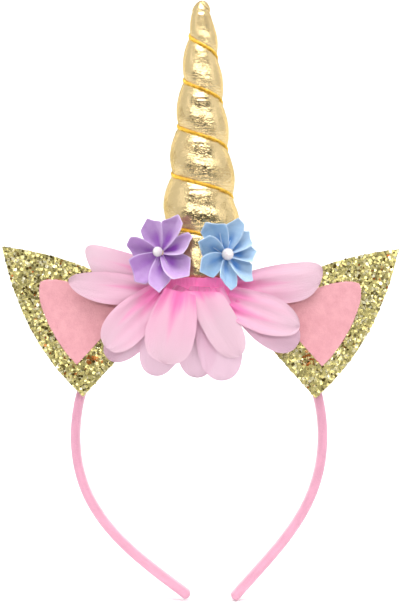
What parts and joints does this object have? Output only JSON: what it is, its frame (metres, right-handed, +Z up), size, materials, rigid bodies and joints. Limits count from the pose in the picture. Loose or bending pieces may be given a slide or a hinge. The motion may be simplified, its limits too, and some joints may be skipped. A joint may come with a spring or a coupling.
{
  "type": "unicorn horn headband",
  "caption": "Pink headband with a spiral gold stuffed horn, gold glitter ears lined with felt, a ruffle of chiffon petals and ribbon flowers with pearl centres.",
  "frame": {"origin": "middle of the hairband's inner side at the crown, where it sits on the head", "axes": "+Z up along the horn, +X to the viewer's right, the flowers and ears face -Y"},
  "size_m": [0.185, 0.0505, 0.2825],
  "materials": {
    "pink_satin": "satin ribbon",
    "gold_cloth": "metallic foil cloth",
    "gold_cord": "metallic twisted cord",
    "gold_glitter": "chunky glitter",
    "pink_felt": "matte felt",
    "pink_chiffon": "sheer chiffon",
    "lilac_ribbon": "satin ribbon",
    "blue_ribbon": "satin ribbon",
    "pearl": "pearl lustre"
  },
  "bodies": {
    "root": {"ear_felt_left": "pink_felt", "ear_felt_right": "pink_felt", "ear_left": "gold_glitter", "ear_right": "gold_glitter", "hairband": "pink_satin", "horn": "gold_cloth", "horn_cord": "gold_cord", "pearl_blue": "pearl", "pearl_lilac": "pearl", "petal_gathers": "pink_chiffon", "petal_left_back": "pink_chiffon", "petal_left_front": "pink_chiffon", "petal_left_top": "pink_chiffon", "petal_left_upper": "pink_chiffon", "petal_low_front": "pink_chiffon", "petal_low_left": "pink_chiffon", "petal_low_middle": "pink_chiffon", "petal_low_right": "pink_chiffon", "petal_middle_front": "pink_chiffon", "petal_right_back": "pink_chiffon", "petal_right_front": "pink_chiffon", "petal_right_top": "pink_chiffon", "ribbon_blue_1": "blue_ribbon", "ribbon_blue_2": "blue_ribbon", "ribbon_blue_3": "blue_ribbon", "ribbon_blue_4": "blue_ribbon", "ribbon_blue_5": "blue_ribbon", "ribbon_blue_6": "blue_ribbon", "ribbon_blue_7": "blue_ribbon", "ribbon_blue_8": "blue_ribbon", "ribbon_lilac_1": "lilac_ribbon", "ribbon_lilac_2": "lilac_ribbon", "ribbon_lilac_3": "lilac_ribbon", "ribbon_lilac_4": "lilac_ribbon", "ribbon_lilac_5": "lilac_ribbon", "ribbon_lilac_6": "lilac_ribbon", "ribbon_lilac_7": "lilac_ribbon"}
  },
  "joints": []
}
